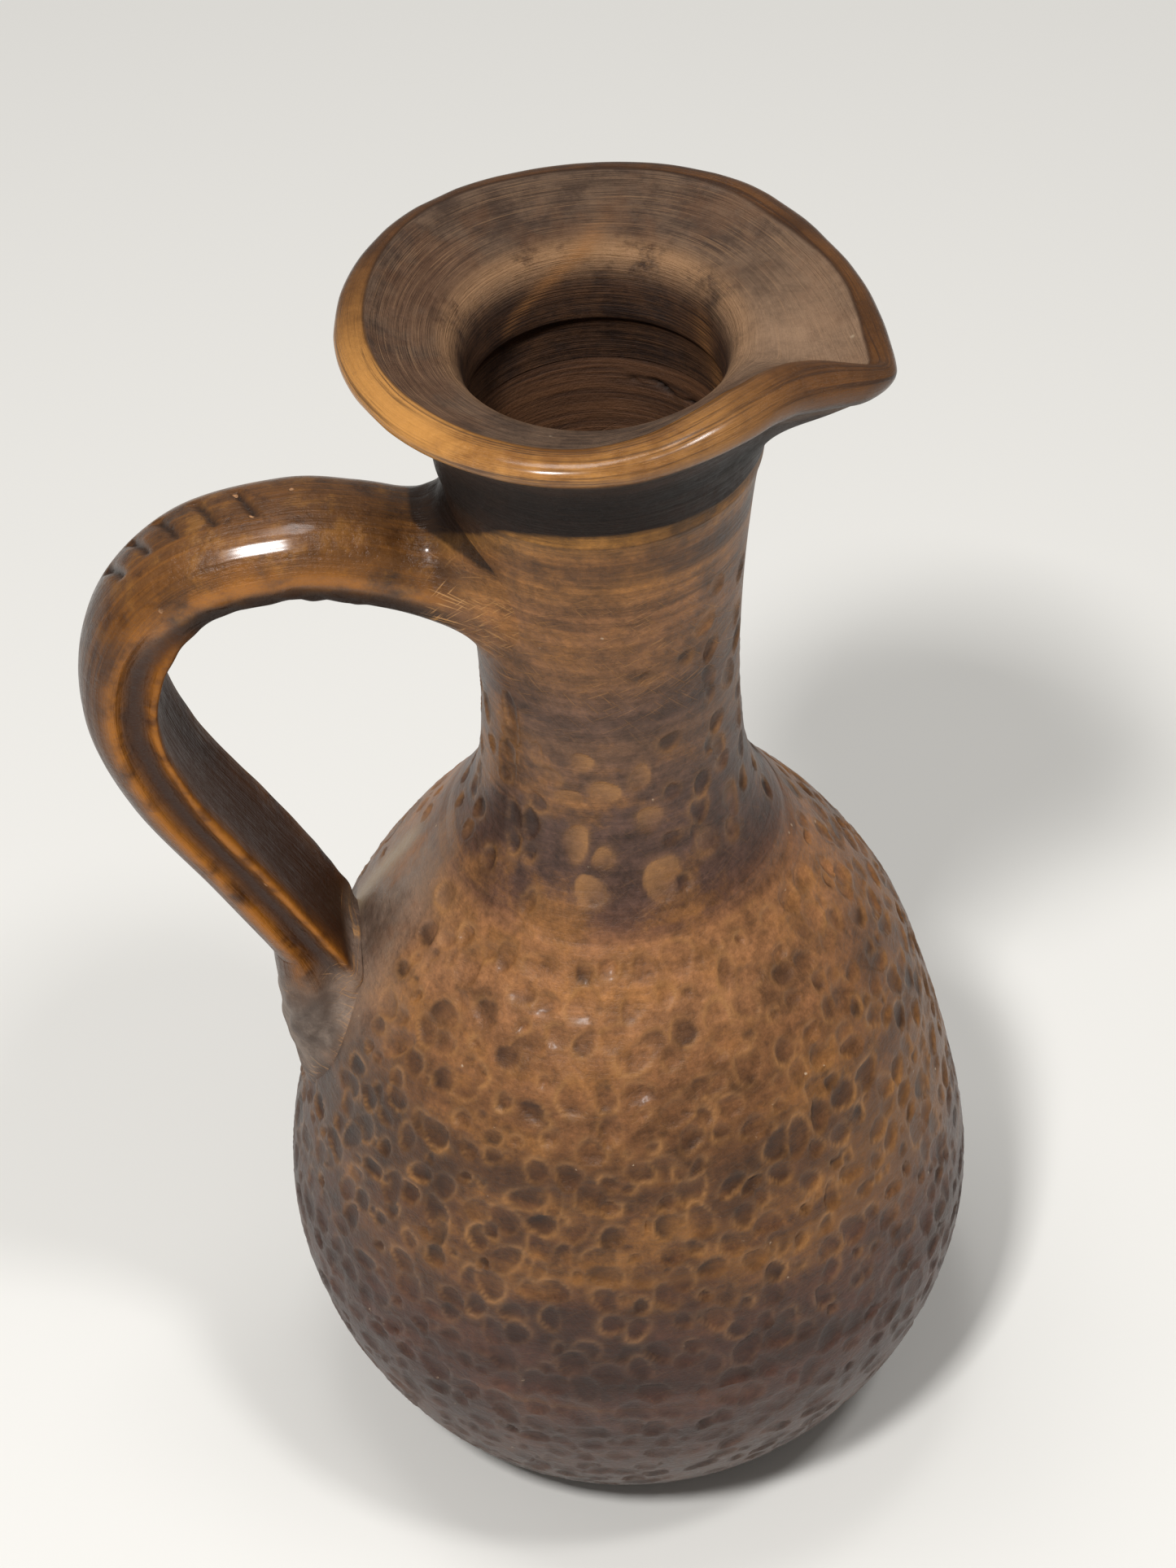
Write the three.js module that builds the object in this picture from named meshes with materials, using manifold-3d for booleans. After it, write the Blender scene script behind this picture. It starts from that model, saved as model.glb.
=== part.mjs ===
// A hand-made earthenware pitcher, in millimetres, +Z up. It stands on z = 0 with its axis on Z. The strap
// handle is toward -X, and the pouring lip is on the other side.
import * as THREE from 'three';
import { mergeVertices } from 'three/addons/utils/BufferGeometryUtils.js';
import Module from 'manifold-3d';

const wasm = await Module();
wasm.setup();

// Driving dimensions.
const gap = 0.3;                       // clearance kept where two pieces of clay were luted together
const aroundSteps = 60;                // facets around the vessel
const footRadius = 44;
const floorThickness = 9;
const bellySeam = 66;                  // height where the lower bowl meets the dome
const neckSeam = 164;                  // height where the collar stands on the dome
const mouthSeam = 262;                 // height where the funnel sits on the collar
const throatRadius = 24.2;
const lip = { radius: 43.3, height: 289.2, bead: 4.3 };
const spout = { direction: -22, reach: 9.9, nearWidth: 12, farWidth: 23, dip: 4.2 };
const pinch = { direction: -38, depth: 6, raise: 4.6, width: 14 };   // the thumb's pinch beside the spout
const strap = { width: 26, thickness: 13, edge: 3.4, crown: 1.8, channel: 2.2, steps: 40 };
const wall = { belly: 7, shoulder: 6, neck: 5 };

// Outer outline of the vessel as [radius, height], from the foot to the underside of the lip.
const outline = new THREE.SplineCurve([
  [footRadius, 0], [57.3, 13], [67.9, 32], [73.3, 50], [74.2, 66], [70.8, 87], [66.2, 106], [60.2, 125],
  [50, 143], [36.8, 161], [28.2, 177], [25.8, 198], [26.3, 222], [28.4, 245], [31.6, 264], [39, 280.5],
].map(([radius, height]) => new THREE.Vector2(radius, height)));
const outlineSamples = outline.getPoints(600);

// Centre line of the strap handle in the XZ plane, from the neck round to the shoulder.
const strapLine = new THREE.CatmullRomCurve3([
  [-22, 236], [-40, 241], [-60, 245], [-79, 240], [-92, 226], [-96, 207],
  [-89.5, 187], [-77.5, 167.5], [-67, 148.5], [-59, 130], [-52, 113],
].map(([x, z]) => new THREE.Vector3(x, 0, z)));

// Wads of clay pressed round the two ends of the strap: centre and half sizes.
const saddle = { centre: [-27, 0, 234], half: [12, 18, 16.5], tilt: 0 };
const tail = { centre: [-62, 0, 112], half: [10, 17, 19], tilt: 0.25 };

const clay = {
  belly: { color: 0x7d4f2c, roughness: 0.42 },
  shoulder: { color: 0x7a4a28, roughness: 0.4 },
  neck: { color: 0x6b4229, roughness: 0.42 },
  mouth: { color: 0xa0652a, roughness: 0.38 },
  handle: { color: 0x7c4722, roughness: 0.36 },
};

function outerRadius(height) {
  const above = outlineSamples.findIndex((point) => point.y >= height);
  if (above < 1) return outlineSamples[0].x;
  const [a, b] = [outlineSamples[above - 1], outlineSamples[above]];
  return THREE.MathUtils.mapLinear(height, a.y, b.y, a.x, b.x);
}

// Points on the outline between two heights, pushed inward by inset.
function wallPoints(from, to, inset, count) {
  return Array.from({ length: count }, (_, i) => {
    const height = from + (to - from) * i / (count - 1);
    return new THREE.Vector2(outerRadius(height) - inset, height);
  });
}

function namedMesh(name, geometry, { color, roughness }) {
  const mesh = new THREE.Mesh(geometry, new THREE.MeshStandardMaterial({ color, roughness, metalness: 0 }));
  mesh.name = name;
  return mesh;
}

// Turns an outline of [radius, height] points about Z.
function turned(points) {
  return new THREE.LatheGeometry(points, aroundSteps).rotateX(Math.PI / 2);
}

function solidOf(geometry) {
  const bare = geometry.clone();
  bare.deleteAttribute('normal');
  bare.deleteAttribute('uv');
  const merged = mergeVertices(bare, 1e-4);
  return new wasm.Manifold(new wasm.Mesh({
    numProp: 3,
    vertProperties: new Float32Array(merged.attributes.position.array),
    triVerts: new Uint32Array(merged.index.array),
  }));
}

function geometryOf(solid) {
  const { vertProperties, triVerts } = solid.getMesh();
  const geometry = new THREE.BufferGeometry();
  geometry.setAttribute('position', new THREE.BufferAttribute(vertProperties, 3));
  geometry.setIndex(new THREE.BufferAttribute(triVerts, 1));
  geometry.computeVertexNormals();
  return geometry;
}

// Lower bowl: flat underside, rounded heel, thick floor, open at the widest line.
function belly() {
  const top = bellySeam - gap / 2;
  const outside = wallPoints(0, top, 0, 11);
  const inside = wallPoints(top, floorThickness + 7, wall.belly, 8);
  const innerFloor = new THREE.Vector2(outerRadius(floorThickness) - 2.2 * wall.belly, floorThickness);
  const underside = new THREE.Vector2(0, 0);
  const centre = new THREE.Vector2(0, floorThickness);
  return namedMesh('belly', turned([underside, ...outside, ...inside, innerFloor, centre]), clay.belly);
}

// A stretch of open wall between two seams.
function ringWall(name, from, to, thickness, count, material) {
  const outside = wallPoints(from + gap / 2, to - gap / 2, 0, count);
  const inside = wallPoints(to - gap / 2, from + gap / 2, thickness, count);
  return namedMesh(name, turned([...outside, ...inside, outside[0].clone()]), material);
}

// How the rim moves at a bearing in degrees: drawn out and down into the spout, pinched in and up beside it.
function rimShift(bearing) {
  const from = (direction) => THREE.MathUtils.euclideanModulo(bearing - direction + 180, 360) - 180;
  const bell = (offset, width) => Math.exp(-((offset / width) ** 2));
  const offset = from(spout.direction);
  const beak = bell(offset, offset < 0 ? spout.nearWidth : spout.farWidth);
  const pinched = bell(from(pinch.direction), pinch.width);
  return { out: spout.reach * beak - pinch.depth * pinched, up: pinch.raise * pinched - spout.dip * beak };
}

// Funnel with a rolled lip; the lip and the flare under it are drawn out into the spout.
function mouth() {
  const foot = mouthSeam + gap / 2;
  const beadPoint = (turn) => new THREE.Vector2(
    lip.radius + lip.bead * Math.cos(turn), lip.height + lip.bead * Math.sin(turn));
  const bead = [-1.0, -0.4, 0.2, 0.8, 1.4, 2.0, 2.6, 3.2].map(beadPoint);
  const underside = wallPoints(foot, 279, 0, 4);
  const flare = [[38.6, 290.2], [34, 289.6], [29.5, 288.6], [26, 286.4], [throatRadius, 281.5], [throatRadius, 271]]
    .map(([radius, height]) => new THREE.Vector2(radius, height));
  const inside = new THREE.Vector2(throatRadius + 1.2, foot);
  const geometry = turned([...underside, ...bead, ...flare, inside, underside[0].clone()]);
  const position = geometry.attributes.position;
  for (let i = 0; i < position.count; i++) {
    const point = new THREE.Vector3().fromBufferAttribute(position, i);
    const radius = Math.hypot(point.x, point.y);
    const strength = THREE.MathUtils.smoothstep(radius, throatRadius + 2, lip.radius - 2)
      * THREE.MathUtils.smoothstep(point.z, mouthSeam, lip.height - 8);
    const shift = rimShift(THREE.MathUtils.radToDeg(Math.atan2(point.y, point.x)));
    const scale = 1 + strength * shift.out / radius;
    position.setXYZ(i, point.x * scale, point.y * scale, point.z + strength * shift.up);
  }
  geometry.computeVertexNormals();
  return namedMesh('mouth', geometry, clay.mouth);
}

// Strap section: crowned outer face, hollow channels along both edges. grow widens it all round.
function strapSection(grow) {
  const w = strap.width / 2 + grow;
  const t = strap.thickness / 2 + grow;
  const e = strap.edge;
  const shape = new THREE.Shape();
  shape.moveTo(e - w, -t);
  shape.lineTo(w - e, -t);
  shape.quadraticCurveTo(w, -t, w, e - t);
  shape.quadraticCurveTo(w - strap.channel, 0, w, t - e);
  shape.quadraticCurveTo(w, t, w - e, t);
  shape.quadraticCurveTo(0, t + strap.crown, e - w, t);
  shape.quadraticCurveTo(-w, t, -w, t - e);
  shape.quadraticCurveTo(strap.channel - w, 0, -w, e - t);
  shape.quadraticCurveTo(-w, -t, e - w, -t);
  return shape;
}

function strapSolid(grow) {
  return solidOf(new THREE.ExtrudeGeometry(strapSection(grow), {
    extrudePath: strapLine, steps: strap.steps, curveSegments: 3,
  }));
}

function wad({ centre, half, tilt }) {
  return solidOf(new THREE.SphereGeometry(1, 28, 18).scale(...half).rotateY(tilt).translate(...centre));
}

// The vessel with its clearance, which the handle pieces are fitted against.
const vesselKeepOut = solidOf(turned([
  new THREE.Vector2(0, 60), ...wallPoints(60, 279, -gap, 40), new THREE.Vector2(0, 279),
]));
const strapKeepOut = strapSolid(gap);

const pitcher = new THREE.Group();
pitcher.add(
  belly(),
  ringWall('shoulder', bellySeam, neckSeam, wall.shoulder, 11, clay.shoulder),
  ringWall('neck', neckSeam, mouthSeam, wall.neck, 8, clay.neck),
  mouth(),
  namedMesh('handle', geometryOf(strapSolid(0).subtract(vesselKeepOut)), clay.handle),
  namedMesh('handle_saddle', geometryOf(wad(saddle).subtract(vesselKeepOut).subtract(strapKeepOut)), clay.handle),
  namedMesh('handle_tail', geometryOf(wad(tail).subtract(vesselKeepOut).subtract(strapKeepOut)), clay.handle),
);
export default pitcher;
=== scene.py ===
import math

import bpy
import numpy as np
from mathutils import Matrix


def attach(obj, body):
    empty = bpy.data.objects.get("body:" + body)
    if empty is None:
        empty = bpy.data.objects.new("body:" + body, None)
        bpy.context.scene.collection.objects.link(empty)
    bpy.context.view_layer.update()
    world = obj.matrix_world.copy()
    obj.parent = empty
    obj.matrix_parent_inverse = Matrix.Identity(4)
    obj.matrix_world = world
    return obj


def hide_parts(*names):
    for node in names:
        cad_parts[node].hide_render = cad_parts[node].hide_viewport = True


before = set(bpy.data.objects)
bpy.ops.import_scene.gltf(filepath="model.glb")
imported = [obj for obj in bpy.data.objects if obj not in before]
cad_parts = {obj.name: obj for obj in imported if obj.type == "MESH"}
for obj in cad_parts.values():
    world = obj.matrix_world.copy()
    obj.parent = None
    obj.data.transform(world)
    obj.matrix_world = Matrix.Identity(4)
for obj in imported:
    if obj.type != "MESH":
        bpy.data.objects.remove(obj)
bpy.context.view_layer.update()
mm = 0.001
print("frame loaded")


def unit(vectors):
    return vectors / np.maximum(np.linalg.norm(vectors, axis=-1, keepdims=True), 1e-9)


def placed(name, data):
    made = bpy.data.objects.new(name, data)
    bpy.context.collection.objects.link(made)
    return made


camera = {
    "place": (-36.2, -593.6, 746.5),    # mm, in front of the pitcher and above it
    "forward": (0.0377, 0.7187, -0.6943),
    "lean": -2.8,                       # degrees the camera is rolled
    "lens": 93.4,
}


def makeCamera(wanted):
    forward = unit(np.array(wanted["forward"]))
    level = unit(np.cross(forward, (0, 0, 1)))
    upright = np.cross(level, forward)
    lean = math.radians(wanted["lean"])
    right = math.cos(lean) * level + math.sin(lean) * upright
    up = math.cos(lean) * upright - math.sin(lean) * level
    data = bpy.data.cameras.new("view")
    data.lens = wanted["lens"]
    data.sensor_width = 36
    data.clip_start = 0.01
    data.dof.use_dof = False
    holder = placed("view", data)
    rows = [[right[i], up[i], -forward[i], wanted["place"][i] * mm] for i in range(3)]
    holder.matrix_world = Matrix(rows + [[0, 0, 0, 1]])
    bpy.context.scene.camera = holder


makeCamera(camera)
print("camera set")


def glide(a, b, c, d, t):
    # the smooth curve from b to c, where a and d are the points before and after them
    bend = a - 2.5 * b + 2 * c - d / 2
    swing = 1.5 * (b - c) + (d - a) / 2
    return b + t * (c - a) / 2 + t ** 2 * bend + t ** 3 * swing


def smoothLine(points, step):
    # a curve through the points, cut into even steps over its first two columns
    p = np.array(points, float)
    ends = np.vstack([p[:1], p, p[-1:]])
    t = np.linspace(0, 1, 32, endpoint=False)[:, None]
    parts = [glide(a, b, c, d, t) for a, b, c, d in zip(ends[:-3], ends[1:-2], ends[2:-1], ends[3:])]
    line = np.vstack(parts + [p[-1:]])
    travelled = np.concatenate([[0], np.cumsum(np.hypot(*np.diff(line[:, :2], axis=0).T))])
    stops = np.linspace(0, travelled[-1], int(math.ceil(travelled[-1] / step)) + 1)
    return np.stack([np.interp(stops, travelled, column) for column in line.T], 1), stops


def ease(low, high, value):
    # 0 at low, 1 at high and rounded off between
    t = np.clip((value - low) / (high - low), 0, 1)
    return t * t * (3 - 2 * t)


def bump(offset, width):
    # 1 in the middle, dying away over the width
    return np.exp(-(offset / width) ** 2)


def halfTurn(degrees):
    # a bearing brought between -180 and 180
    return (degrees + 180) % 360 - 180


def ripple(x, y, seed, waves, size):
    # smooth unevenness made of slow waves in random directions; x is an angle, so they meet after a turn
    rng = np.random.default_rng(seed)
    total = np.zeros(np.broadcast(x, y).shape)
    for _ in range(waves):
        around = rng.integers(-size[0], size[0] + 1)
        up = rng.uniform(-1, 1) * size[1]
        total += rng.uniform(0.5, 1) * np.sin(around * x + up * y + rng.uniform(0, 6.28))
    return total / math.sqrt(waves)


def gridNormals(grid, looped):
    # the outward direction at every point of a grid
    if looped:
        lengthwise = np.roll(grid, -1, 0) - np.roll(grid, 1, 0)
    else:
        lengthwise = np.gradient(grid, axis=0)
    around = np.roll(grid, -1, 1) - np.roll(grid, 1, 1)
    return unit(np.cross(around, lengthwise))


def gridPiece(name, grid, looped, shades, paint, sharp=50):
    # a closed piece from rows of points: looped rows close on themselves, others get a small fan at each end
    rows, columns = grid.shape[:2]
    points = grid.reshape(-1, 3)
    row = np.arange(rows if looped else rows - 1)[:, None]
    column = np.arange(columns)[None, :]
    nextRow = (row + 1) % rows
    nextColumn = (column + 1) % columns
    corners = [row * columns + column, row * columns + nextColumn]
    corners += [nextRow * columns + nextColumn, nextRow * columns + column]
    quads = np.stack(np.broadcast_arrays(*corners), -1).reshape(-1, 4)
    high = rows if looped else rows - 1
    margin = 0.01               # strip of the flat layout kept for each fan
    flat = []
    for u, v in ((column, row), (column + 1, row), (column + 1, row + 1), (column, row + 1)):
        spot = np.broadcast_arrays(u / columns, margin + (1 - 2 * margin) * v / high)
        flat.append(np.stack(spot, -1))
    layout = np.stack(flat, 2).reshape(-1, 2)
    fans = np.zeros((0, 3), int)
    if not looped:
        ends = np.stack([grid[0].mean(0), grid[-1].mean(0)])
        points = np.vstack([points, ends])
        i = np.arange(columns)
        j = (i + 1) % columns
        last = (rows - 1) * columns
        low = np.stack([np.full(columns, rows * columns), j, i], -1)
        top = np.stack([np.full(columns, rows * columns + 1), last + i, last + j], -1)
        fans = np.vstack([low, top])
        middle = (i + 0.5) / columns
        lowFan = [(middle, 0), ((i + 1) / columns, margin), (i / columns, margin)]
        topFan = [(middle, 1), (i / columns, 1 - margin), ((i + 1) / columns, 1 - margin)]
        for fan in (lowFan, topFan):
            spots = [np.stack([u, np.full(columns, v)], -1) for u, v in fan]
            layout = np.vstack([layout, np.stack(spots, 1).reshape(-1, 2)])
    mesh = bpy.data.meshes.new(name)
    mesh.vertices.add(len(points))
    mesh.vertices.foreach_set("co", (points * mm).ravel())
    corners = np.concatenate([quads.ravel(), fans.ravel()])
    mesh.loops.add(len(corners))
    mesh.loops.foreach_set("vertex_index", corners)
    mesh.polygons.add(len(quads) + len(fans))
    starts = [np.arange(len(quads)) * 4, 4 * len(quads) + np.arange(len(fans)) * 3]
    mesh.polygons.foreach_set("loop_start", np.concatenate(starts))
    mesh.polygons.foreach_set("use_smooth", np.ones(len(quads) + len(fans), bool))
    mesh.uv_layers.new(name="OFBake").data.foreach_set("uv", layout.ravel())
    for key, values in shades.items():
        values = np.broadcast_to(values, (rows, columns)).ravel()
        values = np.concatenate([values, np.zeros(len(points) - len(values))])
        mesh.attributes.new(key, "FLOAT", "POINT").data.foreach_set("value", values.astype(np.float32))
    mesh.update(calc_edges=True)
    mesh.set_sharp_from_angle(angle=math.radians(sharp))
    mesh.materials.append(paint)
    piece = placed(name, mesh)
    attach(piece, "root")
    return piece


class Wire:
    # a socket that can stand in a Python expression
    def __init__(self, paint, socket):
        self.paint = paint
        self.socket = socket

    def maths(self, operation, first, second):
        return self.paint.node("ShaderNodeMath", {"operation": operation}, {0: first, 1: second})

    def __add__(self, other):
        return self.maths("ADD", self, other)

    __radd__ = __add__

    def __sub__(self, other):
        return self.maths("SUBTRACT", self, other)

    def __rsub__(self, other):
        return self.maths("SUBTRACT", other, self)

    def __mul__(self, other):
        return self.maths("MULTIPLY", self, other)

    __rmul__ = __mul__

    def __truediv__(self, other):
        return self.maths("DIVIDE", self, other)


class Paint:
    # one procedural material
    def __init__(self, name):
        self.material = bpy.data.materials.new(name)
        self.material.use_nodes = True
        self.tree = self.material.node_tree
        self.tree.nodes.clear()
        self.place = self.node("ShaderNodeTexCoord", {}, {}, "Object")

    def node(self, kind, settings, inputs, output=0):
        made = self.tree.nodes.new(kind)
        for key, value in settings.items():
            if key == "stops":
                self.setStops(made.color_ramp, value)
            else:
                setattr(made, key, value)
        for key, value in inputs.items():
            if isinstance(value, Wire):
                self.tree.links.new(value.socket, made.inputs[key])
            else:
                made.inputs[key].default_value = value
        return Wire(self, made.outputs[output])

    def setStops(self, ramp, stops):
        while len(ramp.elements) < len(stops):
            ramp.elements.new(0.5)
        for element, (position, colour) in zip(ramp.elements, stops):
            element.position = position
            element.color = colour

    def shade(self, name):
        return self.node("ShaderNodeAttribute", {"attribute_name": name}, {}, "Fac")

    def part(self, axis):
        return self.node("ShaderNodeSeparateXYZ", {}, {0: self.place}, axis)

    def joined(self, x, y, z):
        return self.node("ShaderNodeCombineXYZ", {}, {0: x, 1: y, 2: z})

    def stretched(self, x, y, z):
        return self.node("ShaderNodeVectorMath", {"operation": "MULTIPLY"}, {0: self.place, 1: (x, y, z)})

    def noise(self, vector, scale, detail=4, rough=0.55, twist=0):
        inputs = {"Vector": vector, "Scale": scale, "Detail": detail, "Roughness": rough, "Distortion": twist}
        return self.node("ShaderNodeTexNoise", {}, inputs)

    def specks(self, scale, small, large):
        # round specks scattered through the clay; small and large bound their soft edge
        inputs = {"Vector": self.place, "Scale": scale}
        away = self.node("ShaderNodeTexVoronoi", {"feature": "F1"}, inputs, "Distance")
        return 1 - self.between(away, small, large)

    def between(self, value, low, high, toLow=0, toHigh=1):
        inputs = {"Value": value, "From Min": low, "From Max": high, "To Min": toLow, "To Max": toHigh}
        return self.node("ShaderNodeMapRange", {"interpolation_type": "SMOOTHSTEP"}, inputs)

    def mixed(self, factor, first, second, blend="MIX"):
        # a colour may be given as its screen code
        first, second = [tone(colour) if isinstance(colour, str) else colour for colour in (first, second)]
        settings = {"data_type": "RGBA", "blend_type": blend, "clamp_factor": True}
        return self.node("ShaderNodeMix", settings, {0: factor, 6: first, 7: second}, 2)

    def bumped(self, height):
        inputs = {"Height": height, "Strength": clay["bumpStrength"], "Distance": clay["bumpHeight"] * mm}
        return self.node("ShaderNodeBump", {}, inputs, "Normal")

    def finish(self, inputs):
        shader = self.node("ShaderNodeBsdfPrincipled", {}, inputs)
        out = self.tree.nodes.new("ShaderNodeOutputMaterial")
        self.tree.links.new(shader.socket, out.inputs["Surface"])
        return self.material


def tone(code):
    # a colour from its screen code, as Blender's linear values
    parts = [int(code[i:i + 2], 16) / 255 for i in (0, 2, 4)]
    return tuple(c / 12.92 if c <= 0.04045 else ((c + 0.055) / 1.055) ** 2.4 for c in parts) + (1,)


vessel = {
    # outline of the vessel as radius, height in mm, from the foot to under the lip
    "outline": [(44, 0), (57.3, 13), (67.9, 32), (73.3, 50), (74.2, 66), (70.8, 87), (66.2, 106),
                (60.2, 125), (50, 143), (36.8, 161), (28.2, 177), (25.8, 198), (26.3, 222), (28.4, 245),
                (31.6, 264), (39, 280.5)],
    "bellySeam": 66, "neckSeam": 164, "mouthSeam": 262,
    "bellyWall": 7, "shoulderWall": 6, "neckWall": 5, "floor": 9,
    "bellyStep": 0.8, "neckStep": 0.62,         # spacing of the rows that carry the dimples
    "bellyColumns": 590, "neckColumns": 290,    # points in each row
    "insideStep": 8, "throatStep": 2.5,         # spacing of the rows down the plain inside
    "wobble": 0.35,
}
outlinePoints, outlineArc = smoothLine(vessel["outline"], 0.25)
outlineRadius, outlineHeight = outlinePoints.T


def radiusAt(height):
    return np.interp(height, outlineHeight, outlineRadius)


def arcAt(height):
    return np.interp(height, outlineHeight, outlineArc)


def wobbleAt(angle, height):
    # the slight unevenness of a hand-thrown wall, the same wherever two pieces meet
    amount = ripple(angle, height / 40, 11, 9, (4, 1.6))
    return vessel["wobble"] * amount * ease(0, 20, height) * (1 - ease(225, 262, height))


dimples = {
    "rowStep": 6.2, "spacing": 7.1, "lowest": 15, "highest": 158,
    "half": 2.75, "depth": 0.74, "seed": 5,
    "edge": 0.4,            # width of the light burnished line round a dimple, mm
    "bareRound": 180, "bareWide": 17, "bareLow": 100,   # the smoothed patch round the foot of the handle
}


def bellyDimples():
    # rows of presses round the belly; each is angle, arc, half sizes, turn, depth, stain, line
    rng = np.random.default_rng(dimples["seed"])
    found = []
    arc = arcAt(dimples["lowest"])
    while arc < arcAt(dimples["highest"]):
        radius = np.interp(arc, outlineArc, outlineRadius)
        height = np.interp(arc, outlineArc, outlineHeight)
        count = int(2 * math.pi * radius / dimples["spacing"])
        start = rng.uniform(0, 6.28)
        strong = 0.5 + 0.5 * ease(62, 95, height)
        for k in range(count):
            angle = start + 2 * math.pi * (k + rng.uniform(-0.36, 0.36)) / count
            quiet = math.sin(2 * angle + arc / 17) + math.sin(5 * angle - arc / 9 + 1)
            fromHandle = halfTurn(math.degrees(angle) - dimples["bareRound"])
            bare = abs(fromHandle) < dimples["bareWide"] and height > dimples["bareLow"]
            if rng.uniform() < 0.05 + 0.12 * (quiet > 0.9) or bare:
                continue
            size = dimples["half"] * rng.choice([0.5, 0.75, 1, 1.1, 1.3], p=[0.1, 0.24, 0.32, 0.22, 0.12])
            shape = rng.uniform(0.78, 1.3)
            stain = strong * rng.choice([0.2, 0.38, 0.68, 1.0], p=[0.34, 0.3, 0.19, 0.17])
            found.append((angle, arc + rng.uniform(-1.7, 1.7), size * shape, size / shape,
                          rng.uniform(0, 3.14), dimples["depth"] * rng.uniform(0.45, 1.25), stain,
                          strong * rng.uniform(0.35, 1)))
            if rng.uniform() < 0.3:
                small = rng.uniform(0.9, 1.6)
                found.append((angle + rng.uniform(3, 5) / radius, arc + rng.uniform(-2.6, 2.6), small,
                              small * 0.8, rng.uniform(0, 3.14), 0.3, strong * rng.uniform(0.2, 0.9),
                              strong * rng.uniform(0.3, 0.8)))
        arc += dimples["rowStep"] * rng.uniform(0.92, 1.08)
    order = rng.permutation(len(found))
    return [found[i] for i in order]


# facets pressed round the foot of the neck: degrees, height, half width, half height and stain, which is
# below 0 where the facet is lighter than the clay round it
neckFacets = [
    (-97, 195, 3, 3.1, -0.9), (-78, 187, 3.1, 2.9, -0.7), (-76, 173, 3.6, 5.4, -0.75),
    (-110, 182, 2.7, 4.6, -0.8), (-99, 179, 2.3, 2.4, -0.8), (-104, 172, 3, 4, -0.75),
    (-106, 203, 2.5, 1.9, -0.85), (-67, 205, 2.4, 2.5, 0.9), (-112, 193, 3, 2.2, -0.6),
    (-81, 198, 2.4, 3.1, -0.6), (-67, 192, 1.9, 2.3, 0.5), (-57, 179, 1.9, 2.6, 0.4),
    (-69, 181, 2.2, 1.5, 0.5), (-59, 226, 1.7, 1.8, 0.8), (-78, 224, 1.6, 1.5, 0.4),
    (-44, 199, 1.9, 3, 0.6), (-44, 212, 1.2, 2.2, 0.6), (-141, 209, 2, 6.5, 0.75),
    (-145, 195, 2.3, 6, 0.85), (-139, 180, 2.6, 6, 0.75),
]


def neckDimples():
    # the facets, then rows of tall presses up the neck
    rng = np.random.default_rng(23)
    found = []
    for degrees, height, wide, tall, stain in neckFacets:
        turn = rng.uniform(-0.3, 0.3)
        found.append((math.radians(degrees), arcAt(height), wide, tall, turn, 0.5, stain, 0.4))
    for height in range(169, 240, 7):
        count = 20 if height < 205 else 15
        for k in range(count):
            degrees = 360 * (k + rng.uniform(-0.3, 0.3)) / count
            front = -120 < halfTurn(degrees) < -68
            bare = height > 207 and 150 < degrees % 360 < 270
            if front or bare or rng.uniform() < 0.2:
                continue
            wide = rng.uniform(1.5, 2.6)
            stain = rng.choice([-0.4, 0.5, 0.85])
            found.append((math.radians(degrees), arcAt(height + rng.uniform(-2, 2)), wide,
                          wide * rng.uniform(1, 1.7), rng.uniform(-0.3, 0.3), rng.uniform(0.45, 0.85), stain,
                          rng.uniform(0.3, 0.8)))
    return found


pressed = bellyDimples() + neckDimples()
print("dimples laid out:", len(pressed))


def press(angles, arcs, radii):
    # presses every dimple into a grid of points; returns relief in mm, stain and light edge line
    relief = np.zeros((len(arcs), len(angles)))
    stain = np.zeros_like(relief)
    line = np.zeros_like(relief)
    for number, (angle, arc, wide, tall, turn, depth, dark, edge) in enumerate(pressed):
        reach = 1.5 * max(wide, tall) + 1
        near = np.nonzero(np.abs(arcs - arc) < reach)[0]
        if not len(near):
            continue
        offset = (angles - angle + math.pi) % (2 * math.pi) - math.pi
        span = np.nonzero(np.abs(offset) * radii[near].max() < reach)[0]
        if not len(span):
            continue
        spot = np.ix_(near, span)
        x = offset[span][None, :] * radii[near][:, None]
        y = np.broadcast_to((arcs[near] - arc)[:, None], x.shape)
        a = math.cos(turn) * x + math.sin(turn) * y
        b = math.cos(turn) * y - math.sin(turn) * x
        way = np.arctan2(b / tall, a / wide)
        phase = number * 2.4
        uneven = 1 + 0.1 * np.cos(2 * way + phase) + 0.07 * np.cos(3 * way + 2.1 * phase)
        far = np.hypot(a / wide, b / tall) / uneven
        size = math.sqrt(wide * tall)
        inside = ease(1 + 0.3 / size, 1 - 0.45 / size, far)
        tipped = 1 + 0.35 * np.cos(way - phase) * np.minimum(far, 1)
        bowl = inside * (0.45 + 0.55 * np.clip(1 - far ** 2, 0, 1)) * tipped
        raised = 0.09 * bump((far - 1) * size - 0.35, 0.45)
        relief[spot] = np.minimum(relief[spot] * (1 - inside * 0.6), -depth * bowl) + raised * (1 - inside)
        side = np.cos(way - 0.5 * math.pi - 0.9 * math.sin(1.7 * phase))
        pool = dark * (0.62 + 0.38 * side * np.minimum(far, 1))
        halo = 0.34 * max(dark, 0) * bump(far, 1.75)
        before = stain[spot]
        before = np.where(before >= 0, np.maximum(before, halo), before)
        stain[spot] = before * (1 - inside) + pool * inside
        broken = 0.6 + 0.4 * np.cos(way + 2.9 * phase)
        outside = (far - 1) * size
        ring = 0.64 * bump(outside, dimples["edge"]) + 0.28 * bump(outside - 0.45, 1)
        ring = edge * broken * ring
        line[spot] = np.maximum(line[spot] * (1 - 0.85 * inside), ring)
    return relief, stain, line


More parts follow.
